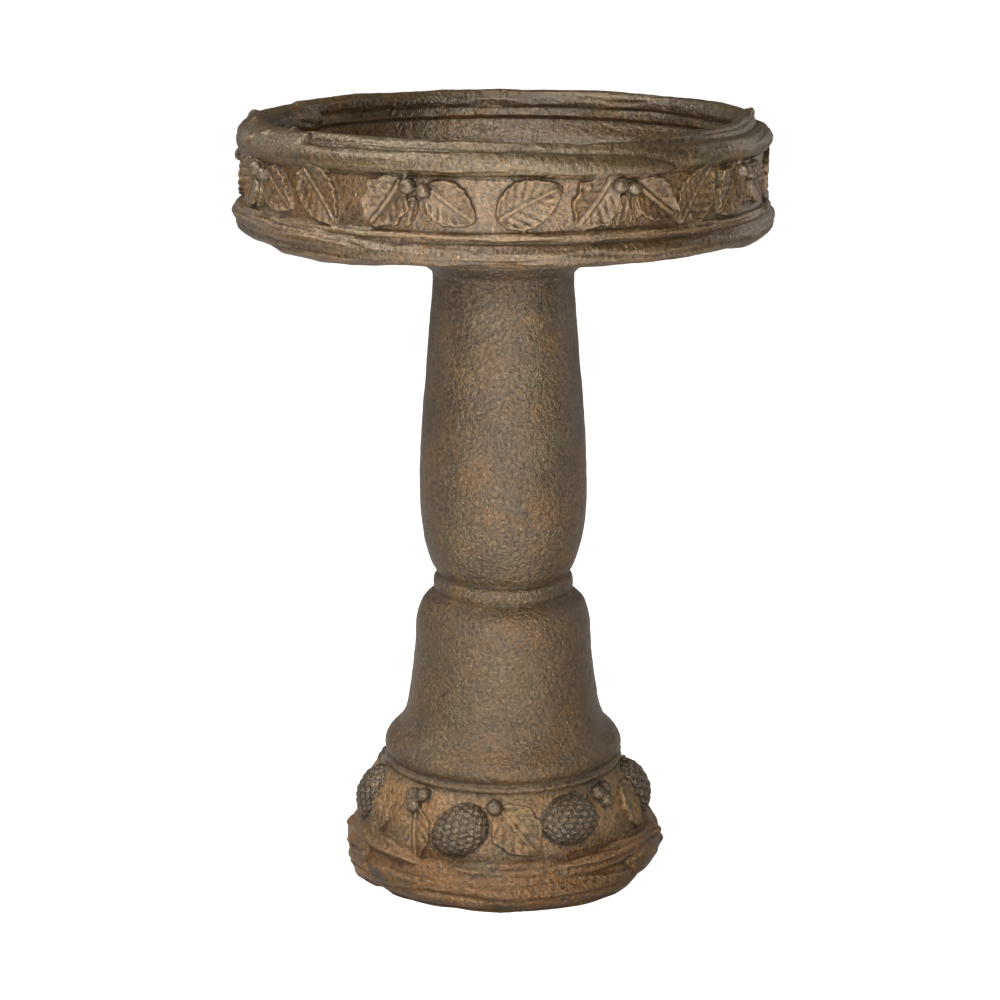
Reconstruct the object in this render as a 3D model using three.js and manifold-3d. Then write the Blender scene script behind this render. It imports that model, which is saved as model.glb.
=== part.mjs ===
// A garden bird bath in cast stone, 630 mm high and 436 mm across. A round basin with a frieze
// of leaves and berries rests on a hollow pedestal whose foot carries a ring of pinecones.
// The basin lifts off: a boss under it drops into the pedestal's core, and it sits on rubber pads.
// Millimetres, +Z up. The origin is on the ground, on the axis of the pedestal; the front is -Y.
import * as THREE from 'three';
import { mergeVertices } from 'three/addons/utils/BufferGeometryUtils.js';
import Module from 'manifold-3d';

const wasm = await Module();
wasm.setup();

// ---- Driving dimensions ----
const GAP = 0.3; // between pieces that touch
const TURN_STEPS = 36; // facets round the turned bodies
const REPEATS = 8; // motifs round the frieze and round the foot

const RIM_TOP = 630;
const RIM_RADIUS = 197.5; // to the middle of the rim's round section
const RIM_HALF_WIDTH = 14;
const RIM_HALF_HEIGHT = 17.5;
const FRIEZE_RADIUS = 207;
const LIP_RADIUS = 218;
const BOWL_RADIUS = 186.5; // inside the basin's wall
const FLOOR_RADIUS = 80; // the flat middle of the bowl's floor
const FLOOR_HEIGHT = 556;
const SEAT_HEIGHT = 526; // the basin's flat underside, where it rests
const SEAT_RADIUS = 95;

const PAD_THICKNESS = 2;
const PAD_RADIUS = 9;
const PAD_COUNT = 3;
const PAD_CIRCLE = 52; // radius of the circle that the pads lie on
const PEDESTAL_TOP = SEAT_HEIGHT - PAD_THICKNESS - 2 * GAP;

const HEAD_RADIUS = 70; // the pedestal's flared head
const BELLY_RADIUS = 69; // the widest part of the vase-shaped shaft
const NECK_HEIGHT = 251.5;
const NECK_RADIUS = 54.6;
const RING_RADIUS = 57;
const BELL_RADIUS = 72.5; // at the bell's shoulder
const BELL_FOOT_RADIUS = 82;
const ROLL_RADIUS = 99.2; // the rounded flange at the foot of the bell
const PLINTH_TOP = 91;
const PLINTH_SLOPE = 26; // degrees that the plinth's wall leans back
const FOOT_RADIUS = 134.5; // the gnarled vine that the plinth stands on
const CORE_RADIUS = 33; // bore through the shaft
const CORE_MOUTH_RADIUS = 103; // the hollow's mouth at the ground

const BOSS_CLEARANCE = 2;
const BOSS_DEPTH = 18;

const LEAF_RELIEF = 4;
const LEAF_LOBES = 3;
const BERRY_RADIUS = 6;

// ---- Geometry helpers ----
const radians = THREE.MathUtils.degToRad;

// A point of a turned outline: its radius and its height.
const at = (radius, height) => new THREE.Vector2(radius, height);

// An elliptical arc in a turned outline. Angles are in degrees, 0 outward and 90 upward.
function arc(centre, halfWidth, halfHeight, from, to, steps) {
  const ellipse = new THREE.EllipseCurve(
    centre.x, centre.y, halfWidth, halfHeight, radians(from), radians(to), to < from);
  return ellipse.getPoints(steps);
}

const curve = (points, steps) => new THREE.SplineCurve(points).getPoints(steps);

// A closed geometry as a solid: only its points are kept, merged, without empty triangles.
function solidOf(geometry) {
  const bare = geometry.clone();
  bare.deleteAttribute('normal');
  bare.deleteAttribute('uv');
  const merged = mergeVertices(bare, 1e-3);
  const corners = merged.index.array;
  const kept = [];
  for (let i = 0; i < corners.length; i += 3) {
    const [a, b, c] = corners.slice(i, i + 3);
    if (a !== b && b !== c && c !== a) kept.push(a, b, c);
  }
  return new wasm.Manifold(new wasm.Mesh({
    numProp: 3,
    vertProperties: new Float32Array(merged.attributes.position.array),
    triVerts: new Uint32Array(kept),
  }));
}

// The outline runs anticlockwise with the axis on its left side, and turns about +Z.
function turned(outline, steps = TURN_STEPS) {
  return solidOf(new THREE.LatheGeometry(outline, steps).rotateX(Math.PI / 2));
}

function meshOf(name, solid, material) {
  const { vertProperties, triVerts } = solid.getMesh();
  const geometry = new THREE.BufferGeometry();
  geometry.setAttribute('position', new THREE.BufferAttribute(vertProperties, 3));
  geometry.setIndex(new THREE.BufferAttribute(triVerts, 1));
  geometry.computeVertexNormals();
  const mesh = new THREE.Mesh(geometry, material);
  mesh.name = name;
  return mesh;
}

// Stands an ornament on a wall. Its own +Z faces out of the wall and its +Y points up the wall.
// bearing is degrees round from the front, towards +X; lean tips the wall's face upward.
function onWall(geometry, { bearing, radius, height, lean = 0, turn = 0 }) {
  return geometry
    .rotateZ(radians(turn))
    .rotateX(radians(90 - lean))
    .translate(0, -radius, height)
    .rotateZ(radians(bearing));
}

// ---- Ornaments ----

// A leaf with three lobes on each edge, centred on its middle, with its tip along +X.
function leaf(length, width) {
  const halfWidth = (along) => 0.5 * width * Math.sin(Math.PI * along ** 0.85);
  const edge = [];
  for (let i = 0; i < LEAF_LOBES; i += 1) {
    const crest = (i + 0.6) / LEAF_LOBES;
    const notch = (i + 1) / LEAF_LOBES;
    edge.push(at(crest, halfWidth(crest)));
    if (notch < 1) edge.push(at(notch, 0.75 * halfWidth(notch)));
  }
  const outline = [at(0, 0), ...edge.map((point) => at(point.x, -point.y)), at(1, 0), ...edge.reverse()];
  const shape = new THREE.Shape(outline.map((point) => at((point.x - 0.5) * length, point.y)));
  return new THREE.ExtrudeGeometry(shape, { depth: 2 * LEAF_RELIEF, bevelEnabled: false })
    .translate(0, 0, -LEAF_RELIEF);
}

const berry = () => new THREE.SphereGeometry(BERRY_RADIUS, 6, 4);

const pinecone = () => new THREE.SphereGeometry(1, 10, 6).scale(23, 18, 12);

// One frieze motif: a pair of leaves under three berries, then a single slanting leaf.
function friezeMotif(bearing) {
  const radius = FRIEZE_RADIUS;
  const leaves = [[-6.5, 583, -152], [5.5, 583, -28], [23, 584, 33]];
  const berries = [[-2, 594], [1.5, 597], [0.5, 588]];
  return [
    ...leaves.map(([offset, height, turn]) =>
      onWall(leaf(46, 26), { bearing: bearing + offset, radius, height, turn })),
    ...berries.map(([offset, height]) =>
      onWall(berry(), { bearing: bearing + offset, radius: radius + 3, height })),
  ];
}

// One foot motif: a pinecone lying on the plinth's slope, then berries over a hanging leaf.
function footMotif(bearing) {
  const lean = PLINTH_SLOPE;
  const berries = [[18, 106, 84], [24, 106, 84], [21, 110, 76]];
  return [
    onWall(pinecone(), { bearing, radius: 111, height: 67, lean, turn: 35 }),
    onWall(leaf(40, 26), { bearing: bearing + 22, radius: 115, height: 60, lean, turn: -80 }),
    ...berries.map(([offset, radius, height]) =>
      onWall(berry(), { bearing: bearing + offset, radius, height })),
  ];
}

// Joins one motif, repeated all the way round, to a body.
function decorated(body, motif) {
  const pieces = [];
  for (let i = 0; i < REPEATS; i += 1) pieces.push(...motif((360 / REPEATS) * i).map(solidOf));
  return pieces.reduce((whole, piece) => whole.add(piece), body);
}

// ---- Basin ----
function basinOutline() {
  const bossRadius = CORE_RADIUS - BOSS_CLEARANCE;
  const rim = at(RIM_RADIUS, RIM_TOP - RIM_HALF_HEIGHT);
  return [
    at(0, SEAT_HEIGHT - BOSS_DEPTH),
    at(bossRadius - 2, SEAT_HEIGHT - BOSS_DEPTH),
    at(bossRadius, SEAT_HEIGHT),
    ...curve([at(SEAT_RADIUS, SEAT_HEIGHT), at(150, 530), at(198, 540)], 4),
    ...arc(at(LIP_RADIUS - 13, 549.5), 13, 10, -80, 50, 5),
    ...arc(at(FRIEZE_RADIUS + 1.5, 563), 4.5, 4.5, -50, 80, 2),
    at(FRIEZE_RADIUS, 569),
    ...arc(rim, RIM_HALF_WIDTH, RIM_HALF_HEIGHT, -45, 195, 10),
    at(BOWL_RADIUS + 1.5, 606),
    at(BOWL_RADIUS, 602),
    ...curve([at(BOWL_RADIUS - 2, 590), at(172, 571), at(140, 560), at(FLOOR_RADIUS, FLOOR_HEIGHT)], 6),
    at(0, FLOOR_HEIGHT),
  ];
}

// ---- Pedestal ----
function plinthOutline() {
  return [
    ...arc(at(FOOT_RADIUS - 19, 22), 19, 24, -66, 66, 5),
    ...curve([at(119, 48), at(114, 64), at(107, 79), at(98.5, PLINTH_TOP)], 3),
  ];
}

function bellOutline() {
  return [
    ...arc(at(ROLL_RADIUS - 15.2, 98), 15.2, 26, -13, 74, 5),
    at(BELL_FOOT_RADIUS, 126),
    at(78, 145),
    ...arc(at(BELL_RADIUS - 22.5, 208), 22.5, 32, 0, 68, 4),
    at(NECK_RADIUS, 239),
  ];
}

function shaftOutline() {
  return [
    at(RING_RADIUS, 241.5),
    at(RING_RADIUS, 248),
    at(NECK_RADIUS, NECK_HEIGHT),
    ...arc(at(BELLY_RADIUS - 20, 325), 20, 75, -73, 8, 7),
    ...curve([at(66.4, 385), at(61.8, 440), at(57.7, 490), at(57.6, 503)], 4),
    at(HEAD_RADIUS, 515),
    at(HEAD_RADIUS, PEDESTAL_TOP - 2),
    at(HEAD_RADIUS - 2, PEDESTAL_TOP),
  ];
}

// The hollow tapers from its mouth at the ground to a straight bore in the shaft.
function coreOutline() {
  return [
    at(CORE_RADIUS, PEDESTAL_TOP),
    at(CORE_RADIUS, NECK_HEIGHT),
    at(46, 205),
    at(62, 105),
    at(92, 60),
    at(CORE_MOUTH_RADIUS, 0),
  ];
}

function pedestalOutline() {
  const outline = [...plinthOutline(), ...bellOutline(), ...shaftOutline(), ...coreOutline()];
  return [...outline, outline[0]];
}

// ---- Seat pads ----
function seatPad(index) {
  const middle = PEDESTAL_TOP + GAP + PAD_THICKNESS / 2;
  const disc = new THREE.CylinderGeometry(PAD_RADIUS, PAD_RADIUS, PAD_THICKNESS, 24);
  return disc
    .rotateX(Math.PI / 2)
    .translate(0, -PAD_CIRCLE, middle)
    .rotateZ(radians((360 / PAD_COUNT) * index));
}

// ---- Assembly ----
const stone = new THREE.MeshStandardMaterial({ color: 0x6f5136, roughness: 0.55, metalness: 0.1 });
const rubber = new THREE.MeshStandardMaterial({ color: 0x1c1b1a, roughness: 0.8, metalness: 0 });

const birdBath = new THREE.Group();
birdBath.add(meshOf('basin', decorated(turned(basinOutline()), friezeMotif), stone));
birdBath.add(meshOf('pedestal', decorated(turned(pedestalOutline()), footMotif), stone));
for (let i = 0; i < PAD_COUNT; i += 1) {
  birdBath.add(meshOf(`seat_pad_${i + 1}`, solidOf(seatPad(i)), rubber));
}

export default birdBath;
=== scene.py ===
"""A cast-stone bird bath: the looks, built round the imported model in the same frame.

The basin and the pedestal are each modelled as a clay master would be: turned body, vines,
leaves, berries and pinecones are pressed into one another and cast as one skin. Shapes are
worked out in millimetres and turned into metres when a mesh is made. Bearings are degrees
round the axis from the front (-Y) towards +X.
"""
import math

import bpy
import numpy as np
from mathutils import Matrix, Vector
from mathutils.kdtree import KDTree


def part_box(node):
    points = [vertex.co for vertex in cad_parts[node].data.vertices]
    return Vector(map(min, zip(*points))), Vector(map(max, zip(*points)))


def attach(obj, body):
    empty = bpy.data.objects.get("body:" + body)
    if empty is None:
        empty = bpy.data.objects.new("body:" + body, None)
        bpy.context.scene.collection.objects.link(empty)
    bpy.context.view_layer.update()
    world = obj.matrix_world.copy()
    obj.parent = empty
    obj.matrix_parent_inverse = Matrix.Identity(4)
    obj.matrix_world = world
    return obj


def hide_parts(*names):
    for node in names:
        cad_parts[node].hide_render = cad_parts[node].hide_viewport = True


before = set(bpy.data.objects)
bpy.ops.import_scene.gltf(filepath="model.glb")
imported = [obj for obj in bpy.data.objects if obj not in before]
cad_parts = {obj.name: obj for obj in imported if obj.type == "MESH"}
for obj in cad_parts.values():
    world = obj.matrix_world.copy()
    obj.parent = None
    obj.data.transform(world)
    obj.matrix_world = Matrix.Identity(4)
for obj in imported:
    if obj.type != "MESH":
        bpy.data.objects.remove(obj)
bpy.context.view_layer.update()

MM = 0.001

# ---- Sizes that come from the frame, in millimetres ----
BASIN_LOW, BASIN_HIGH = (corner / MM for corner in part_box("basin"))
STAND_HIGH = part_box("pedestal")[1] / MM
PAD_NODES = [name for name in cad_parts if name.startswith("seat_pad")]

RIM_TOP = BASIN_HIGH.z
LIP_RADIUS = BASIN_HIGH.x
BOSS_BOTTOM = BASIN_LOW.z
STAND_TOP = STAND_HIGH.z
FOOT_RADIUS = STAND_HIGH.x

SEAT_HEIGHT = BOSS_BOTTOM + 18
BOSS_RADIUS = 31
FRIEZE_RADIUS = LIP_RADIUS - 11
BOWL_RADIUS = LIP_RADIUS - 31.5
FLOOR_HEIGHT = RIM_TOP - 74

# ---- Heights of the relief, in millimetres, and the lean of the plinth's leaves, in degrees ----
LIP_HEIGHT = 548
LEDGE_HEIGHT = 561
FRIEZE_HEIGHT = 585.5
FRIEZE_TOP = 602
NECK_HEIGHT = 251.5
PLINTH_LEAN = 26

# ---- The cast skin, in millimetres ----
VOXEL = 0.8
SKIN_FACES = 192_000
# The hand-pressed swells: how wide, and how high from hollow to crest.
UNEVENNESS = ((22, 1.1), (7, 0.45))
# Skin this close to the height of a true face is made level with it.
TRUE_FACE_REACH = 1.8
# Skin this close to a berry or a pinecone belongs to it.
FRUIT_REACH = 1.2
# Crevices are measured from the skin as it is after so many rounds of smoothing.
CREVICE_ROUNDS = 4
CREVICE_DEPTH = 0.35


# ---- Shape helpers ----
def arc(middle, half_width, half_height, start, end, steps):
    """Points of an elliptical arc in a turned outline; 0 degrees is outward and 90 is up."""
    angles = np.radians(np.linspace(start, end, steps + 1))
    return [(middle[0] + half_width * math.cos(a), middle[1] + half_height * math.sin(a)) for a in angles]


def curve(points, steps):
    """A smooth curve (Catmull-Rom) through the given points."""
    knots = np.array([points[0], *points, points[-1]], float)
    places = np.linspace(0, len(points) - 1, steps + 1)
    made = []
    for place in places:
        i = min(int(place), len(points) - 2)
        t = place - i
        a, b, c, d = knots[i:i + 4]
        made.append(0.5 * (2 * b + (c - a) * t + (2 * a - 5 * b + 4 * c - d) * t ** 2
                           + (3 * b - a - 3 * c + d) * t ** 3))
    return [tuple(point) for point in made]


def waves(places, seed):
    """A smooth wander between about -1 and 1 that closes on itself over places 0 to 1."""
    random = np.random.default_rng(seed)
    total = np.zeros_like(places, float)
    waves_summed = 4
    for turns in range(1, waves_summed + 1):
        total += np.sin(2 * np.pi * (turns * places + random.random())) * random.uniform(0.5, 1)
    return total / waves_summed


def bump(distance, width):
    """A rounded rise: 1 in its middle, and gone about two widths away."""
    return np.exp(-(distance / width) ** 2)


def angle_between(angles, other):
    """The smallest turn from one angle to another, in radians from -pi to pi."""
    return np.angle(np.exp(1j * (angles - other)))


def grain(shape, cells, seed):
    """Smooth noise from -1 to 1 over a grid of rows by ring points; it closes round the ring."""
    rows, ring = shape
    along, around = cells
    knots = np.random.default_rng(seed).uniform(-1, 1, (along + 1, around))
    row, row_part = np.divmod(np.linspace(0, along - 1e-6, rows), 1)
    side, side_part = np.divmod(np.arange(ring) * around / ring, 1)
    row, side = row.astype(int)[:, None], side.astype(int)[None, :]
    row_part, side_part = (part * part * (3 - 2 * part) for part in (row_part[:, None], side_part[None, :]))
    near, far = ((1 - side_part) * knots[r, side] + side_part * knots[r, (side + 1) % around]
                 for r in (row, row + 1))
    return (1 - row_part) * near + row_part * far


def on_wall(bearing, height, wall_radius, lean, across, up, out):
    """Points on a wall: across and up it from a place on it, and out of it.

    wall_radius gives the wall's radius at a height. lean tips the wall's face upward.
    """
    tilt = math.radians(lean)
    z = height + up * math.cos(tilt) + out * math.sin(tilt)
    radius = wall_radius(height + up * math.cos(tilt)) + out * math.cos(tilt)
    angle = math.radians(bearing) + across / wall_radius(height)
    return np.stack([radius * np.sin(angle), -radius * np.cos(angle), z], -1)


# ---- Clay: closed shells, cast together as one skin ----
class Clay:
    """Closed shells of clay, pressed into one another."""

    def __init__(self):
        self.points = []
        self.faces = []
        self.fruit = []
        self.count = 0

    def add(self, shell, wrap=False, fruit=False):
        """Adds a shell of rows by ring points. Its end rows are shrunk to a point, unless it wraps."""
        if fruit:
            self.fruit.append(shell.reshape(-1, 3))
        rows, ring = shell.shape[:2]
        row = np.arange(rows if wrap else rows - 1)[:, None]
        place = np.arange(ring)[None, :]
        following = (row + 1) % rows
        corners = [row * ring + place, row * ring + (place + 1) % ring,
                   following * ring + (place + 1) % ring, following * ring + place]
        self.faces.append(np.stack(corners, -1).reshape(-1, 4) + self.count)
        self.points.append(shell.reshape(-1, 3))
        self.count += rows * ring

    def mould(self, name):
        """The shells as one mesh, still separate from one another."""
        return mesh_object(name, np.concatenate(self.points), np.concatenate(self.faces))

    def cast(self, name, true_faces):
        """The shells melted into one skin, with a hand-worked surface and its true faces flat."""
        piece = self.mould(name)
        melt = piece.modifiers.new("melt", "REMESH")
        melt.mode = "VOXEL"
        melt.voxel_size = VOXEL * MM
        soften = piece.modifiers.new("soften", "SMOOTH")
        soften.factor = 0.5
        soften.iterations = 1
        for size, height in UNEVENNESS:
            add_unevenness(piece, size, height)
        settle(piece)
        flatten(piece.data, true_faces)
        mark_hollows(piece.data)
        thin = piece.modifiers.new("thin", "DECIMATE")
        thin.ratio = min(1, SKIN_FACES / (2 * len(piece.data.polygons)))
        settle(piece)
        mark_fruit(piece.data, np.concatenate(self.fruit))
        piece.data.shade_smooth()
        return piece


def mesh_object(name, points, faces):
    """A mesh of points in millimetres, and faces that all have the same number of corners."""
    mesh = bpy.data.meshes.new(name)
    sides = faces.shape[1]
    mesh.vertices.add(len(points))
    mesh.vertices.foreach_set("co", (points * MM).ravel())
    mesh.loops.add(faces.size)
    mesh.loops.foreach_set("vertex_index", faces.ravel())
    mesh.polygons.add(len(faces))
    mesh.polygons.foreach_set("loop_start", np.arange(0, faces.size, sides))
    mesh.polygons.foreach_set("loop_total", np.full(len(faces), sides))
    mesh.update(calc_edges=True)
    made = bpy.data.objects.new(name, mesh)
    bpy.context.scene.collection.objects.link(made)
    return made


def add_unevenness(piece, size, height):
    """Hand-pressed unevenness: swells about size across, height from hollow to crest."""
    clouds = bpy.data.textures.new(f"swell_{size}", "CLOUDS")
    clouds.noise_scale = size * MM
    clouds.noise_depth = 1
    swell = piece.modifiers.new("swell", "DISPLACE")
    swell.texture = clouds
    swell.texture_coords = "LOCAL"
    swell.strength = height * MM
    swell.mid_level = 0.5


def settle(piece):
    """Applies the piece's modifiers to its mesh."""
    graph = bpy.context.evaluated_depsgraph_get()
    settled = bpy.data.meshes.new_from_object(piece.evaluated_get(graph))
    settled.name = piece.name
    piece.modifiers.clear()
    piece.data = settled


def positions(mesh):
    """The places of a mesh's points, in metres."""
    points = np.empty(len(mesh.vertices) * 3)
    mesh.vertices.foreach_get("co", points)
    return points.reshape(-1, 3)


def flatten(mesh, true_faces):
    """Makes the level faces true again: (height, radius) of each. Nothing goes under the ground."""
    points = positions(mesh)
    reach = np.hypot(points[:, 0], points[:, 1])
    for height, radius in true_faces:
        near = (np.abs(points[:, 2] - height * MM) < TRUE_FACE_REACH * MM) & (reach < radius * MM)
        points[near, 2] = height * MM
    points[:, 2] = np.maximum(points[:, 2], 0)
    mesh.vertices.foreach_set("co", points.ravel())
    mesh.update()


def mark_hollows(mesh):
    """Stores how far each point lies under the surface close round it, as the attribute crevice.

    0.5 is level with it, 1 is CREVICE_DEPTH or more under it, and 0 is as far proud of it.
    """
    count = len(mesh.vertices)
    points = positions(mesh)
    normals = np.empty(count * 3)
    mesh.vertices.foreach_get("normal", normals)
    normals = normals.reshape(-1, 3)
    ends = np.empty(len(mesh.edges) * 2, np.int64)
    mesh.edges.foreach_get("vertices", ends)
    start, end = ends.reshape(-1, 2).T
    neighbours = np.bincount(ends, minlength=count)[:, None]
    smooth = points
    for _ in range(CREVICE_ROUNDS):
        sums = [np.bincount(start, column[end], count) + np.bincount(end, column[start], count)
                for column in smooth.T]
        smooth = np.stack(sums, -1) / neighbours
    under = ((smooth - points) * normals).sum(-1) / (CREVICE_DEPTH * MM)
    attribute = mesh.attributes.new("crevice", "FLOAT", "POINT")
    attribute.data.foreach_set("value", np.clip(0.5 + 0.5 * under, 0, 1))


def mark_fruit(mesh, points):
    """Stores which points of the mesh lie on a berry or a pinecone, as the attribute fruit."""
    tree = KDTree(len(points))
    for i, point in enumerate(points * MM):
        tree.insert(point, i)
    tree.balance()
    attribute = mesh.attributes.new("fruit", "FLOAT", "POINT")
    near = [float(tree.find(vertex.co)[2] < FRUIT_REACH * MM) for vertex in mesh.vertices]
    attribute.data.foreach_set("value", near)


# ---- Pieces of clay ----
def turned(outline, seed, sway=0.5, steps=420):
    """A turned body: rows follow the outline, and its radius sways a little round the axis.

    Near the axis, where the boss and the core must fit, it doesn't sway.
    """
    outline = np.array(outline)
    round_trip = np.linspace(0, 1, steps, endpoint=False)
    angle = 2 * np.pi * round_trip
    radius = outline[:, :1] + sway * waves(round_trip, seed)[None, :] * (outline[:, :1] > BOSS_RADIUS + 3)
    height = outline[:, 1:] + 0 * radius
    return np.stack([radius * np.sin(angle), -radius * np.cos(angle), height], -1)


def furrows(side, slow, half_width, grooves, seed):
    """Grooves that wander along a branch, and fade and deepen on the way. 1 is a full groove."""
    random = np.random.default_rng(seed)
    total = 0 * (side + slow)
    for i in range(grooves):
        line = 2 * np.pi * (i + random.uniform(-0.3, 0.3)) / grooves + 0.6 * waves(slow, seed + 3 + i)
        apart = angle_between(side, line) * half_width
        total += bump(apart, 1.6) * (0.65 + 0.35 * waves(2 * slow, seed + 9 + i))
    return total


def rough_bark(shape, length, seed):
    """Ridges of bark, much longer than they are wide: a coarse layer and a fine one."""
    coarse = (max(2, int(length / 38)), 13)
    fine = (max(2, int(length / 17)), 26)
    return 1.2 * grain(shape, coarse, seed) + grain(shape, fine, seed + 1)


def vine(start, end, radius, height, wide, tall, seed, grooves=3, groove_depth=1.3, bark=0.35,
         taper=(8, 8), knots=()):
    """A branch lying round the axis from one bearing to another.

    radius and height are numbers, or lists of numbers that it passes from start to end. wide and
    tall are its half width and half height, and taper is the length over which each end narrows.
    knots are (degrees from start, side in degrees, size). Its grooves and bark run lengthwise.
    """
    middle = np.mean(radius)
    length = math.radians(abs(end - start)) * middle
    place = np.linspace(0, 1, max(24, int(length / 1.5)))[:, None]
    side = np.linspace(0, 2 * np.pi, 96, endpoint=False)[None, :]
    slow = place * length / 400
    ends = np.clip(place * length / taper[0], 0, 1) * np.clip((1 - place) * length / taper[1], 0, 1)
    girth = np.sqrt(ends * (2 - ends)) * (1 + 0.06 * waves(slow, seed + 1))
    swell = 0.5 * waves(side / (2 * np.pi) + 0.3 * slow, seed + 2)
    swell = swell - groove_depth * furrows(side, slow, (wide + tall) / 2, grooves, seed)
    swell = swell + bark * rough_bark(swell.shape, length, seed)
    for degrees, at_side, size in knots:
        apart = angle_between(side, math.radians(at_side)) * max(wide, tall)
        along = place * length - math.radians(degrees) * middle
        swell = swell + size * bump(np.hypot(apart, along), 1.3 * size)
    path_radius, path_height = (np.interp(place, np.linspace(0, 1, np.size(path)), np.atleast_1d(path))
                                for path in (radius, height))
    out = path_radius + 0.5 * waves(slow, seed + 20) + girth * (wide + swell) * np.cos(side)
    up = path_height + 0.5 * waves(slow, seed + 21) + girth * (tall + swell) * np.sin(side)
    angle = np.radians(start + (end - start) * place) + 0 * side
    return np.stack([out * np.sin(angle), -out * np.cos(angle), up], -1)


def laid(points_across, points_up, turn):
    """Points across and up a wall, turned by some degrees from across towards up."""
    angle = math.radians(turn)
    return (points_across * math.cos(angle) - points_up * math.sin(angle),
            points_across * math.sin(angle) + points_up * math.cos(angle))


def leaf(bearing, height, turn, length, width, wall, lean=0, teeth=7, jag=0.12, lobes=0.0,
         lift=3.2, veins=6, bend=0.0):
    """A leaf pressed on a wall, its middle at a bearing and height, its tip along turn.

    Each row is a section across the leaf: the top face from edge to edge, then back under it.
    Its edges stand up, its midrib lies between two grooves, and its side veins run towards the
    tip. lobes is how deep its outline waves, and bend curves its midrib sideways.
    """
    along = np.linspace(0, 1, 120)[:, None]
    half = 56
    face = np.sin(np.linspace(-np.pi / 2, np.pi / 2, half))
    across = np.concatenate([face, face[::-1]])[None, :]
    is_top = (np.arange(2 * half) < half)[None, :]
    tooth = (along * teeth + 0.25 + 0.3 * np.sign(across)) % 1
    outline = (np.sin(np.pi * along ** 0.85) ** 0.75 * (1 + jag * (tooth - 0.5))
               * (1 + lobes * np.sin(2 * np.pi * (3 * along + 0.2 + 0.12 * np.sign(across)))))
    outline[0] = outline[-1] = 0
    off_rib = across * outline * width / 2
    vein = np.abs((along * veins - np.abs(across) * 1.7 + 0.25 * np.sign(across)) % 1 - 0.5) * 2
    blade = np.clip(np.abs(off_rib) / 4 - 0.4, 0, 1) * np.clip((1 - along) * 5, 0, 1)
    top = (lift * (0.35 + 0.65 * np.abs(across) ** 3)
           + blade * (1.1 * np.sqrt(1 - vein ** 2) - 0.8 * bump(1 - vein, 0.2))
           - 0.9 * bump(np.abs(off_rib) - 2.2, 0.8) + 1.2 * bump(off_rib, 1.3)
           + 2 * (along - 0.5) ** 2)
    top = top * np.clip(outline * 3, 0.3, 1)
    out = np.where(is_top, top, -4)
    out[0] = out[-1] = 0
    x = (along - 0.5) * length + 0 * across
    y = off_rib + bend * length * (0.25 - (along - 0.5) ** 2)
    return on_wall(bearing, height, wall, lean, *laid(x, y, turn), out)


def stalk(bearing, height, turn, length, wall):
    """A stalk lying on an upright wall, its middle at a bearing and height."""
    thickness = 1.6
    along = np.linspace(-0.5, 0.5, 24)[:, None]
    side = np.linspace(0, 2 * np.pi, 16, endpoint=False)[None, :]
    girth = thickness * np.sqrt(np.clip(1 - (2 * along) ** 8, 0, 1)) * (1.15 - 0.5 * along)
    x = along * length + 0 * side
    y = girth * np.cos(side) + 1.5 * (4 * along ** 2 - 0.5)
    return on_wall(bearing, height, wall, 0, *laid(x, y, turn), 1.2 + girth * np.sin(side))


def ball(half_sizes, rows, ring):
    """Points of an egg shape, with their directions from its middle. Its long axis is X."""
    polar = np.linspace(0, np.pi, rows)[:, None]
    side = np.linspace(0, 2 * np.pi, ring, endpoint=False)[None, :]
    x = np.cos(polar) + 0 * side
    ways = np.stack([x, np.sin(polar) * np.cos(side), np.sin(polar) * np.sin(side)], -1)
    return ways * np.array(half_sizes), ways


def berry(bearing, height, wall, lean=0, radius=6.0, out=3.5):
    """A berry with a dimple in its front; out is how far its middle stands off the wall."""
    points, ways = ball((radius, radius, radius), 24, 32)
    points = points * (1 - 0.12 * bump(np.arccos(np.clip(ways[..., 2:], -1, 1)), 0.3))
    return on_wall(bearing, height, wall, lean, points[..., 0], points[..., 1], points[..., 2] + out)


CONE_HALF_SIZES = (23.5, 18, 9.5)
CONE_SCALES = 150
SCALE_HEIGHT = 2.6


def pinecone(bearing, height, turn, wall, lean):
    """A pinecone lying on a wall. Its scales are knobs on a spiral from one end to the other."""
    points, ways = ball(CONE_HALF_SIZES, 110, 200)
    order = np.arange(CONE_SCALES) + 0.5
    x = 1 - 2 * order / CONE_SCALES
    spin = np.pi * (1 + 5 ** 0.5) * order
    ring = np.sqrt(1 - x ** 2)
    knobs = np.stack([x, ring * np.cos(spin), ring * np.sin(spin)], -1)
    closeness = ways.reshape(-1, 3) @ knobs.T
    nearest = np.sort(closeness, axis=1)[:, -2:]
    spacing = math.sqrt(4 * math.pi / CONE_SCALES)
    reach = np.arccos(np.clip(nearest, -1, 1)) / spacing
    knob = np.sqrt(np.clip(1 - (reach[:, 1] / 0.66) ** 2, 0, 1))
    edge = np.clip((reach[:, 0] - reach[:, 1]) * 4, 0, 1)
    swell = (SCALE_HEIGHT * knob * (0.3 + 0.7 * edge)).reshape(ways.shape[:2])[..., None]
    points = points + ways * swell
    across, up = laid(points[..., 0], points[..., 1], turn)
    return on_wall(bearing, height, wall, lean, across, up, points[..., 2])


# ---- Basin ----
def frieze_wall(height):
    """The radius of the upright band between the lip and the rim, the same at every height."""
    return FRIEZE_RADIUS + 0 * height


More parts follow.
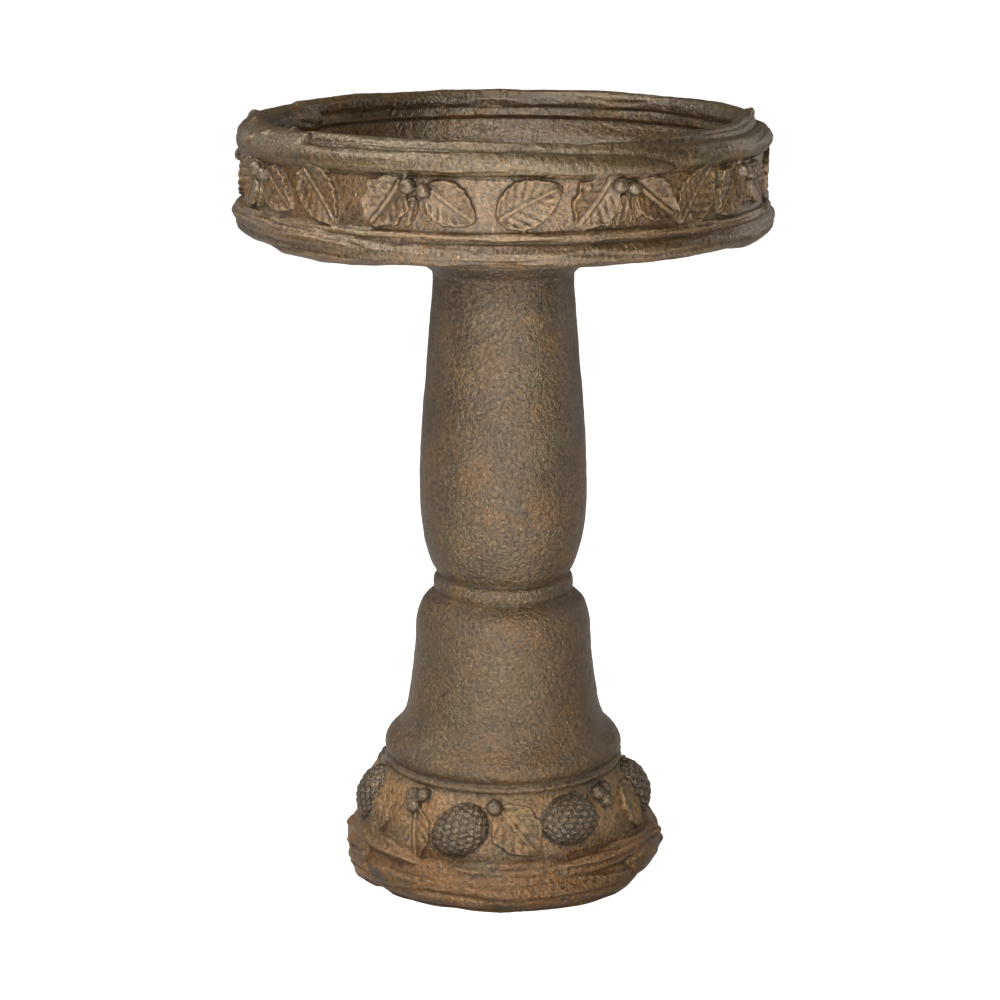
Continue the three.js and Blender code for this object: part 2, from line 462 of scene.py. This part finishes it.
def basin_outline():
    """The basin's section: from the boss out under the lip, up the frieze, over the rim and in."""
    rim = (197, RIM_TOP - 21)
    return [
        *curve([(0, BOSS_BOTTOM), (BOSS_RADIUS - 2, BOSS_BOTTOM)], 6),
        *curve([(BOSS_RADIUS, BOSS_BOTTOM + 2), (BOSS_RADIUS, SEAT_HEIGHT)], 6),
        *curve([(BOSS_RADIUS + 1, SEAT_HEIGHT), (95, SEAT_HEIGHT), (150, 530), (199, 541)], 40),
        *arc((LIP_RADIUS - 15, LIP_HEIGHT), 11, 8, -80, 50, 14),
        *arc((FRIEZE_RADIUS + 0.5, LEDGE_HEIGHT), 3.6, 3.2, -50, 80, 6),
        *curve([(FRIEZE_RADIUS, 566), (FRIEZE_RADIUS - 0.7, 585), (FRIEZE_RADIUS, 603)], 16),
        *arc(rim, 10.5, 8.5, -40, 140, 30),
        *curve([(BOWL_RADIUS - 0.5, 616), (BOWL_RADIUS - 1.9, 610)], 8),
        *curve([(BOWL_RADIUS + 1.2, 606.5), (BOWL_RADIUS, 602), (BOWL_RADIUS - 2, 590), (172, 571),
                (140, 560), (80, FLOOR_HEIGHT), (0, FLOOR_HEIGHT)], 90),
    ]


def rim_vines():
    """Branches that overlap round the rim: an upper, inner one over a lower, outer one."""
    low, high = RIM_TOP - 16, RIM_TOP - 8
    return [
        vine(-64, 38, (202, 204.5, 204.5, 206), (low - 1.5, low, low + 0.5, low - 6), 9, 9, 11, 2, 1.2,
             taper=(8, 60)),
        vine(-54, 36, (191, 190.5, 190.5, 195, 208), (high + 0.5, high, high, high - 1.5, low - 6),
             5.5, 8, 12, 2, 1.8, taper=(20, 50)),
        vine(-50, 18, (196.5, 197.5, 197), (high - 3, high - 3, high - 4), 4, 5, 22, 2, 1, taper=(40, 40)),
        vine(14, 116, (195, 202, 204.5, 204, 202), (high, low + 1, low, low, low), 9.5, 9.5, 13, 2,
             taper=(50, 10)),
        vine(26, 93, (190.5, 190.5, 191, 194), (high - 1, high, high + 0.5, high + 4), 7, 8.5, 14, 2,
             taper=(30, 6), knots=((62, 60, 3.5),)),
        vine(-128, -60, 196.5, low, 15.5, 15.5, 16, 2, taper=(30, 9),
             knots=((30, 60, 3.5), (50, 85, 3), (60, 20, 3.5), (56, 130, 3))),
        vine(-70, -46, (196.5, 196), low + 0.5, 15, 15, 17, 2, taper=(8, 8),
             knots=((8, 50, 3), (15, 100, 2.5))),
        vine(104, 205, (200, 204, 204, 202), low, 9.5, 10, 18, taper=(12, 30)),
        vine(86, 196, 193, high, 8.5, 9.5, 19, taper=(20, 25)),
        vine(190, 250, (201, 203, 203), low, 10, 10, 20, taper=(25, 20)),
        vine(182, 246, 193, high, 8.5, 9.5, 21, taper=(25, 20)),
    ]


def lip_vines():
    """Branches that overlap round the lip: a thick lower roll and a thin, rough upper one."""
    low, high = LIP_HEIGHT + 0.5, LEDGE_HEIGHT
    out = LIP_RADIUS - 13.5
    return [
        vine(-104, -6, (out, out, out + 1, out), (low + 8, low + 8, low + 4, low - 5), 12.5, 9, 31, 4, 1.8,
             0.6, taper=(25, 70)),
        vine(-62, 66, (out - 3, out, out, out), (low - 5, low - 1, low, low), 12.5, 9.5, 32, 5, 1.8, 0.6,
             taper=(50, 30)),
        vine(52, 150, out, (low - 2, low + 2, low + 3, low + 1), 12.5, 10.5, 33, 4, taper=(40, 30)),
        vine(135, 215, out, low + 1, 12.5, 10.5, 34, 4, taper=(40, 30)),
        vine(198, 272, out, low, 12.5, 10.5, 35, 4, taper=(40, 30)),
        vine(-40, 34, FRIEZE_RADIUS, high, 5.5, 4, 36, 3, bark=0.7, taper=(40, 20)),
        vine(22, 96, FRIEZE_RADIUS + 0.5, high, 6, 4, 37, 3, bark=0.8, taper=(20, 30)),
        *(vine(start, end, FRIEZE_RADIUS, high, 5.5, 4, seed, 3, bark=0.7, taper=(30, 30))
          for start, end, seed in ((84, 170, 38), (158, 240, 39), (228, 300, 40))),
    ]


CLUSTER_BEARINGS = (-62.5, -18, 25.5, 62, 109, 156, 203, 250)
# Each single leaf's bearing and turn.
SINGLE_LEAVES = ((-41.5, -50), (5.2, 27), (43.8, 52), (86, 40),
                 (133, -35), (180, 30), (226, -40), (273, 35))


def frieze_cluster(clay, bearing):
    """A pair of leaves that hang from one place, with two small leaves and berries between.

    The berry beyond the left leaf is so small that it keeps the colour of the leaves.
    """
    wall = frieze_wall
    middle, top = FRIEZE_HEIGHT, FRIEZE_TOP
    clay.add(leaf(bearing - 7.0, middle, -127, 44, 36, wall, teeth=5, jag=0.06, lobes=0.1, lift=4.6,
                  bend=0.12))
    clay.add(leaf(bearing + 7.3, middle, -36, 44, 31, wall, teeth=6, jag=0.09, lift=4.2, bend=-0.08))
    clay.add(leaf(bearing - 1.2, middle - 6.5, -105, 24, 10, wall, teeth=3, lift=4, veins=3))
    clay.add(leaf(bearing + 2.4, middle - 3.5, -80, 20, 9, wall, teeth=3, lift=4, veins=3))
    clay.add(stalk(bearing - 2.5, top, -112, 16, wall))
    clay.add(berry(bearing - 1.6, top - 4, wall), fruit=True)
    clay.add(berry(bearing + 1.7, top - 7, wall, radius=5.4), fruit=True)
    clay.add(berry(bearing - 8.3, top - 4, wall, radius=3.2, out=1.6))


def make_basin():
    """The basin: its turned body, the rim's and lip's branches, and the frieze's leaves."""
    clay = Clay()
    clay.add(turned(basin_outline(), 5))
    for shell in (*rim_vines(), *lip_vines()):
        clay.add(shell)
    for bearing in CLUSTER_BEARINGS:
        frieze_cluster(clay, bearing)
    clay.add(berry(-87, FRIEZE_TOP - 3, frieze_wall, radius=5, out=2.5), fruit=True)
    for bearing, turn in SINGLE_LEAVES:
        clay.add(leaf(bearing, FRIEZE_HEIGHT + 0.5, turn, 53, 35, frieze_wall, jag=0.1, lift=4.2,
                      veins=7, bend=0.08))
    return clay.cast("basin_cast_stone", ((BOSS_BOTTOM, BOSS_RADIUS), (SEAT_HEIGHT, 90)))


# ---- Pedestal ----
# Stretches of the pedestal's outline, from the foot up, as (radius, height).
PLINTH = ((119, 46), (114, 64), (107, 79), (98.5, 91))
BELL = ((96.6, 98.8), (98.6, 102), (99.3, 106.5), (97.4, 112), (93, 117), (87.5, 123), (83, 131),
        (80, 141), (77.2, 158), (74.5, 180), (73, 200), (72, 214), (67.5, 228), (60, 235.5))
NECK_RING = ((56.2, 238.2), (57.6, 240.5), (58, 245), (57.6, 249), (56, 251.3), (54.2, 251.8))
SHAFT = ((68.6, 345), (66.4, 385), (61.8, 440), (57.9, 486), (57.2, 502))


def plinth_wall(height):
    """The plinth's radius at a height."""
    radii, heights = zip(*PLINTH)
    return np.interp(height, heights, radii)


def pedestal_outline():
    """The pedestal's section: up the outside, down the hollow core and out under the foot."""
    outside = [
        *arc((FOOT_RADIUS - 23, 20), 16, 20, -66, 66, 16),
        *curve(PLINTH, 20),
        *arc((95, 94.3), 4.6, 3.6, -60, 55, 8),
        *curve(BELL, 100),
        *curve(NECK_RING, 16),
        *arc((49, 326), 20, 75, -75, 6, 34),
        *curve(SHAFT, 50),
        *curve([(58.5, 505), (64, 509.5), (70, 515)], 8),
        *curve([(70.2, 517), (70, STAND_TOP - 2), (68.5, STAND_TOP)], 5),
    ]
    core = [
        *curve([(33, STAND_TOP), (33, NECK_HEIGHT)], 60),
        *curve([(46, 205), (62, 105)], 24),
        *curve([(92, 60), (103, 0)], 20),
    ]
    underside = curve([(104, 0), (121, 0)], 6)
    return outside + core + underside


def foot_vines():
    """The gnarled vine that the plinth stands on, with two sawn branch ends."""
    out = FOOT_RADIUS - 19
    rough = {"groove_depth": 2.4, "bark": 0.9}
    return [
        vine(-128, -62, out, (20, 22, 26), 17, 20, 51, 7, taper=(30, 4),
             knots=((38, 25, 4), (52, 5, 4)), **rough),
        vine(-96, -18, (out + 1, out + 2, out), (8, 9, 15, 19), 15.5, 12, 52, 6, taper=(40, 40), **rough),
        vine(-68, -30, out - 1, (39, 39, 30), 15, 8, 53, 4, taper=(12, 40), **rough),
        vine(-70, 66, out + 0.5, (14, 15, 16, 15, 12), 17, 15.5, 54, 8, taper=(40, 40), **rough),
        vine(-26, 30, out - 4, (34, 33, 35), 14, 9, 55, 4, taper=(30, 30), **rough),
        vine(12, 56, (out, out + 3), (29, 33, 37), 13, 10, 56, 6, taper=(50, 3), **rough),
        vine(50, 148, out, (24, 22, 22), 17.5, 20.5, 57, 7, taper=(20, 30),
             knots=((30, 30, 4.5), (38, -5, 4)), **rough),
        vine(136, 196, out, (24, 20, 20), 17.5, 20, 58, 7, taper=(40, 30), **rough),
        vine(184, 246, out, (18, 21, 22), 17.5, 20, 59, 7, taper=(30, 30), **rough),
    ]


# Each pinecone's bearing, height and turn; each leaf's bearing, height, turn, length and width;
# and the bearing of each group of three berries.
CONES = ((-79, 67, 82), (-18, 64, 42), (29, 69, 8), (84, 69, 98),
         (136, 66, 30), (186, 68, 60), (236, 66, 20))
PLINTH_LEAVES = ((-38.5, 55, -80, 48, 32), (6, 64.5, -54, 50, 40), (-61, 62, -88, 48, 28),
                 (68, 62, -80, 48, 28), (110, 58, -70, 46, 34), (161, 60, -100, 46, 34),
                 (211, 60, -70, 46, 34), (257, 58, -80, 46, 34))
PLINTH_BERRIES = (-41, 49, 121, 163, 211)


def make_pedestal():
    """The pedestal: its turned body, the foot's vine, and the plinth's cones, leaves and berries."""
    clay = Clay()
    clay.add(turned(pedestal_outline(), 6, sway=0.35), wrap=True)
    for shell in foot_vines():
        clay.add(shell)
    on_plinth = {"wall": plinth_wall, "lean": PLINTH_LEAN}
    for bearing, height, turn in CONES:
        clay.add(pinecone(bearing, height, turn, **on_plinth), fruit=True)
    for bearing, height, turn, length, width in PLINTH_LEAVES:
        clay.add(leaf(bearing, height, turn, length, width, jag=0.05, lobes=0.06, veins=5,
                      **on_plinth))
    for bearing in PLINTH_BERRIES:
        clay.add(berry(bearing - 2.6, 83, radius=5.8, **on_plinth), fruit=True)
        clay.add(berry(bearing + 3.0, 85, out=3.0, radius=5.4, **on_plinth), fruit=True)
        clay.add(berry(bearing, 76, out=4.0, **on_plinth), fruit=True)
    clay.add(berry(-3.9, 82.5, out=4.2, radius=6.4, **on_plinth), fruit=True)
    return clay.cast("pedestal_cast_stone", ((STAND_TOP, 75), (0, FOOT_RADIUS)))


# ---- Seat pads ----
def make_pad(node):
    """A moulded rubber disc: rounded edge, a shallow ring groove in its top."""
    low, high = (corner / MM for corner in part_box(node))
    middle = (low + high) / 2
    radius, half = (high.x - low.x) / 2, (high.z - low.z) / 2
    outline = [(0, -half), (radius - 0.8, -half), *arc((radius - 0.6, 0), 0.6, half, -80, 80, 8),
               (radius * 0.62, half), (radius * 0.58, half - 0.35), (radius * 0.46, half - 0.35),
               (radius * 0.42, half), (0, half)]
    clay = Clay()
    clay.add(turned(outline, 7, sway=0, steps=64) + np.array(middle))
    pad = clay.mould(f"{node}_rubber")
    pad.data.shade_smooth()
    return pad


# ---- Materials ----
def srgb(red, green, blue):
    """A colour named by its screen values, 0 to 255, as the linear colour that a shader takes."""
    def linear(value):
        value /= 255
        return value / 12.92 if value <= 0.04045 else ((value + 0.055) / 1.055) ** 2.4
    return (linear(red), linear(green), linear(blue), 1)


class Shader:
    """A node tree built by short calls, each of which returns an output socket."""

    def __init__(self, name):
        self.material = bpy.data.materials.new(name)
        self.material.use_nodes = True
        self.nodes = self.material.node_tree.nodes
        self.skin = self.nodes["Principled BSDF"]
        self.place = self.nodes.new("ShaderNodeTexCoord").outputs["Object"]

    def feed(self, socket, value):
        """Links an output to the socket, or sets a plain value on it."""
        if isinstance(value, bpy.types.NodeSocket):
            self.material.node_tree.links.new(value, socket)
        else:
            socket.default_value = value

    def calc(self, operation, *values, clamp=False):
        node = self.nodes.new("ShaderNodeMath")
        node.operation = operation
        node.use_clamp = clamp
        for socket, value in zip(node.inputs, values):
            self.feed(socket, value)
        return node.outputs[0]

    def noise(self, size, detail, roughness=0.55, warp=0.0, offset=0.0):
        """Noise whose features are about size millimetres across; offset picks another part of it."""
        node = self.nodes.new("ShaderNodeTexNoise")
        self.feed(node.inputs["Vector"], self.shifted(offset))
        node.inputs["Scale"].default_value = 1 / (size * MM)
        node.inputs["Detail"].default_value = detail
        node.inputs["Roughness"].default_value = roughness
        node.inputs["Distortion"].default_value = warp
        return node.outputs["Fac"]

    def shifted(self, offset):
        if not offset:
            return self.place
        node = self.nodes.new("ShaderNodeMapping")
        self.feed(node.inputs["Vector"], self.place)
        node.inputs["Location"].default_value = (offset,) * 3
        return node.outputs["Vector"]

    def band(self, value, low, high):
        """0 below low, 1 above high, and smooth between."""
        node = self.nodes.new("ShaderNodeMapRange")
        node.interpolation_type = "SMOOTHSTEP"
        self.feed(node.inputs["Value"], value)
        node.inputs["From Min"].default_value = low
        node.inputs["From Max"].default_value = high
        return node.outputs["Result"]

    def mix(self, amount, under, over):
        node = self.nodes.new("ShaderNodeMix")
        node.data_type = "RGBA"
        self.feed(node.inputs["Factor"], amount)
        self.feed(node.inputs[6], under)
        self.feed(node.inputs[7], over)
        return node.outputs[2]

    def lay(self, under, paint, share, where):
        """Paint over what is under: share of it where the mask is 1, and none where it is 0."""
        return self.mix(self.calc("MULTIPLY", where, share), under, paint)

    def axes(self):
        node = self.nodes.new("ShaderNodeSeparateXYZ")
        self.feed(node.inputs["Vector"], self.place)
        return node.outputs

    def height(self):
        """The height above the ground, in millimetres."""
        return self.calc("DIVIDE", self.axes()["Z"], MM)

    def reach(self):
        """The distance from the axis, in millimetres."""
        axes = self.axes()
        squares = [self.calc("MULTIPLY", axes[axis], axes[axis]) for axis in "XY"]
        return self.calc("DIVIDE", self.calc("SQRT", self.calc("ADD", *squares)), MM)

    def attribute(self, name):
        """A number stored on the mesh."""
        node = self.nodes.new("ShaderNodeAttribute")
        node.attribute_name = name
        return node.outputs["Fac"]

    def bump(self, height, distance, strength, under=None):
        """Fine relief, distance millimetres deep; under is a coarser relief that it lies on."""
        node = self.nodes.new("ShaderNodeBump")
        self.feed(node.inputs["Height"], height)
        node.inputs["Distance"].default_value = distance * MM
        node.inputs["Strength"].default_value = strength
        if under is not None:
            self.feed(node.inputs["Normal"], under)
        return node.outputs["Normal"]


DARK_BRONZE = srgb(58, 43, 25)
BRONZE = srgb(77, 57, 33)
OCHRE = srgb(100, 66, 20)
OLIVE = srgb(76, 68, 38)
FRIEZE_BROWN = srgb(100, 74, 47)
PLINTH_BROWN = srgb(136, 100, 58)
BELL_BROWN = srgb(78, 55, 24)
FOOT_OCHRE = srgb(106, 66, 12)
FRUIT_BROWN = srgb(46, 38, 27)
SPECKLE = srgb(36, 26, 15)
# Painted shade in the pits of the fine grain.
PIT_SHADE = srgb(26, 18, 9)
# Painted highlight on the rises of the fine grain.
GRAIN_HIGHLIGHT = srgb(120, 96, 64)
# Crests worn lighter, with a painted highlight on them.
CREST_WEAR_AND_HIGHLIGHT = srgb(140, 116, 84)
# A dark wash with painted shade, for crevices and the edges round leaves.
CREVICE_WASH_AND_SHADE = srgb(24, 16, 8)
# Painted shade, for the insides of the bowl and the core and for the shadow on the shaft's top.
SHADE = srgb(26, 19, 12)
WARM_GLINT = (1, 0.88, 0.74, 1)

# Bands of height that take another colour: low, high, colour and how much of it.
BASIN_ZONES = ((556, 604, FRIEZE_BROWN, 0.85), (606, 650, OLIVE, 0.35))
# On the pedestal, the band from 504 to 540 in SHADE is a painted shadow that the basin casts on the top of
# the shaft.
PEDESTAL_ZONES = ((-20, 46, FOOT_OCHRE, 1.0), (50, 90, PLINTH_BROWN, 0.9),
                  (96, 240, BELL_BROWN, 0.6), (504, 540, SHADE, 0.8))
# Inside this radius the basin is its bowl and the pedestal its core, and both get painted shade.
BASIN_INSIDE, PEDESTAL_INSIDE = 186, 40
# How deep their fine grain is, in millimetres.
BASIN_GRAIN, PEDESTAL_GRAIN = 1.3, 2.3


def blotches(s, size, low, high, offset):
    """A mask of ragged blotches; a wider gap from low to high makes their edges softer."""
    return s.band(s.noise(size, 5, 0.6, 0.4, offset=offset), low, high)


def paint(s, zones, inside_radius):
    """Bronze-brown paint: its two tones, the zones (on the pedestal one is a painted shadow), painted shade
    inside, and ochre and olive blotches.
    """
    colour = s.mix(s.band(s.noise(55, 4), 0.35, 0.65), DARK_BRONZE, BRONZE)
    height = s.height()
    outside = s.band(s.reach(), inside_radius - 4, inside_radius + 4)
    for low, high, tint, share in zones:
        zone = s.calc("MULTIPLY", s.band(height, low - 6, low + 6), s.band(height, high + 6, high - 6))
        zone = s.calc("MULTIPLY", zone, outside)
        zone = s.calc("MULTIPLY", zone, blotches(s, 26, 0.3, 0.6, low))
        colour = s.lay(colour, tint, share, zone)
    # Painted shade inside the bowl and the core.
    colour = s.lay(colour, SHADE, 0.7, s.calc("SUBTRACT", 1, outside))
    colour = s.lay(colour, OCHRE, 0.55, blotches(s, 34, 0.48, 0.68, 3))
    return s.lay(colour, OLIVE, 0.5, blotches(s, 40, 0.52, 0.7, 9))


def wear_and_painted_light(s, colour, grains, fruit, crevice):
    """Specks in the paint, painted shade in the grain's pits and a painted highlight on its rises, darker
    fruit, a dark wash with painted shade in the crevices, and crests worn lighter with a painted highlight.
    """
    colour = s.lay(colour, SPECKLE, 0.45, s.band(s.noise(2.4, 4, 0.7), 0.4, 0.7))
    # Painted shade in the pits of the fine grain.
    colour = s.lay(colour, PIT_SHADE, 0.7, s.band(grains, 0.5, 0.36))
    # Painted highlight on the rises of the fine grain.
    colour = s.lay(colour, GRAIN_HIGHLIGHT, 0.3, s.band(grains, 0.54, 0.7))
    colour = s.lay(colour, FRUIT_BROWN, 0.85, fruit)
    # A dark wash and painted shade in the crevices.
    colour = s.lay(colour, CREVICE_WASH_AND_SHADE, 0.7, s.band(crevice, 0.56, 0.95))
    # Crests worn lighter, with a painted highlight on them.
    return s.lay(colour, CREST_WEAR_AND_HIGHLIGHT, 0.3, s.band(crevice, 0.44, 0.1))


def stone(name, zones, inside_radius, grain_depth):
    """Aged cast stone under worn, glossy paint, with painted shade and painted highlights. grain_depth is
    in millimetres.
    """
    s = Shader(name)
    grains = s.noise(3.2, 4, 0.6, 0.4)
    fruit, crevice = s.attribute("fruit"), s.attribute("crevice")
    colour = wear_and_painted_light(s, paint(s, zones, inside_radius), grains, fruit, crevice)
    s.feed(s.skin.inputs["Base Color"], colour)

    rough = s.calc("ADD", 0.2, s.calc("MULTIPLY", s.noise(9, 4), 0.28))
    rough = s.calc("SUBTRACT", rough, s.calc("MULTIPLY", fruit, 0.1))
    dull = s.calc("MULTIPLY", s.band(crevice, 0.56, 0.95), 0.25)
    s.feed(s.skin.inputs["Roughness"], s.calc("ADD", rough, dull, clamp=True))
    s.skin.inputs["Metallic"].default_value = 0.3
    s.skin.inputs["Specular IOR Level"].default_value = 1.0
    s.skin.inputs["Specular Tint"].default_value = WARM_GLINT

    worn = s.bump(s.noise(11, 3, 0.5), 0.9, 1.0)
    s.feed(s.skin.inputs["Normal"], s.bump(grains, grain_depth, 1.0, worn))
    return s.material


def rubber():
    """Matt black rubber with a faint bloom."""
    s = Shader("pad_rubber_skin")
    s.feed(s.skin.inputs["Base Color"], s.mix(s.noise(3, 3), srgb(26, 25, 24), srgb(44, 42, 40)))
    s.feed(s.skin.inputs["Roughness"], s.calc("ADD", 0.6, s.calc("MULTIPLY", s.noise(1.5, 2), 0.25)))
    s.feed(s.skin.inputs["Normal"], s.bump(s.noise(0.6, 2), 0.1, 0.5))
    return s.material


# ---- Camera, lights and floor ----
# The place in metres, the dip below level in degrees, and the focal length in millimetres.
CAMERA_PLACE = (-0.0028, -2.175, 0.8548)
CAMERA_DIP = 13.99
CAMERA_LENS = 97.85

# Seen directly, the floor and the world are white; the glows are what the bath gets of them.
FLOOR_GLOW = 0.04
FLOOR_GREY = 0.45
FLOOR_HALF = 20_000
WORLD_GLOW = 0.11
WHITE = (1, 1, 1, 1)

# Each softbox: name, place, the point that it faces, size (all in metres) and power in watts.
BATH_MIDDLE = (0, 0, 0.4)
SOFTBOXES = (
    ("front_softbox", (-0.1, -2.6, 1.3), BATH_MIDDLE, (1.1, 0.5), 92),
    ("top_softbox", (-1.1, -0.3, 2.3), BATH_MIDDLE, (1.2, 1.2), 60),
    ("back_softbox_left", (-1.7, 1.3, 1.0), BATH_MIDDLE, (0.8, 1.4), 6),
    ("back_softbox_right", (1.7, 1.3, 1.0), BATH_MIDDLE, (0.8, 1.4), 9),
    ("floor_panel", (0, -1.55, 0.01), (0, -1.55, 1), (1.6, 2.4), 42),
)


def make_camera():
    """In front of the bath and a little above its rim, looking down on it."""
    data = bpy.data.cameras.new("camera")
    data.sensor_width = 36
    data.lens = CAMERA_LENS
    camera = bpy.data.objects.new("camera", data)
    camera.location = CAMERA_PLACE
    camera.rotation_euler = (math.radians(90 - CAMERA_DIP), 0, 0)
    bpy.context.scene.collection.objects.link(camera)
    bpy.context.scene.camera = camera


def make_light(name, place, aim, size, power):
    """A rectangular softbox that faces a point."""
    data = bpy.data.lights.new(name, "AREA")
    data.shape = "RECTANGLE"
    data.size, data.size_y = size
    data.energy = power
    light = bpy.data.objects.new(name, data)
    light.location = place
    light.rotation_euler = (Vector(aim) - Vector(place)).to_track_quat("-Z", "Y").to_euler()
    bpy.context.scene.collection.objects.link(light)


def make_floor():
    """A pale sweep. It looks evenly lit, and throws only a part of that light back on the bath."""
    half = FLOOR_HALF
    corners = np.array([(-half, -half, 0), (half, -half, 0), (half, half, 0), (-half, half, 0)], float)
    floor = mesh_object("floor", corners, np.array([[0, 1, 2, 3]]))
    s = Shader("floor_pale")
    s.skin.inputs["Base Color"].default_value = (FLOOR_GREY, FLOOR_GREY, FLOOR_GREY, 1)
    s.skin.inputs["Roughness"].default_value = 0.9
    s.skin.inputs["Emission Color"].default_value = WHITE
    seen = s.nodes.new("ShaderNodeLightPath").outputs["Is Camera Ray"]
    s.feed(s.skin.inputs["Emission Strength"], s.calc("ADD", FLOOR_GLOW, seen))
    floor.data.materials.append(s.material)


def make_world():
    """A white surround, which lights the bath only a little."""
    world = bpy.data.worlds.new("studio")
    world.use_nodes = True
    nodes, links = world.node_tree.nodes, world.node_tree.links
    nodes["Background"].inputs["Color"].default_value = WHITE
    strength = nodes.new("ShaderNodeMath")
    strength.inputs[1].default_value = WORLD_GLOW
    links.new(nodes.new("ShaderNodeLightPath").outputs["Is Camera Ray"], strength.inputs[0])
    links.new(strength.outputs[0], nodes["Background"].inputs["Strength"])
    bpy.context.scene.world = world


def make_studio():
    make_floor()
    make_world()
    for softbox in SOFTBOXES:
        make_light(*softbox)
    bpy.context.scene.view_settings.view_transform = "Standard"


# ---- Assembly ----
def dress(piece, node, body, material):
    """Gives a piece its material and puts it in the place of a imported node, on that node's body."""
    piece.data.materials.append(material)
    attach(piece, body)
    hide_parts(node)


make_camera()
make_studio()
basin_skin = stone("basin_skin", BASIN_ZONES, BASIN_INSIDE, BASIN_GRAIN)
pedestal_skin = stone("pedestal_skin", PEDESTAL_ZONES, PEDESTAL_INSIDE, PEDESTAL_GRAIN)
pad_skin = rubber()
dress(make_basin(), "basin", "basin", basin_skin)
dress(make_pedestal(), "pedestal", "pedestal", pedestal_skin)
for pad_node in PAD_NODES:
    dress(make_pad(pad_node), pad_node, "pedestal", pad_skin)
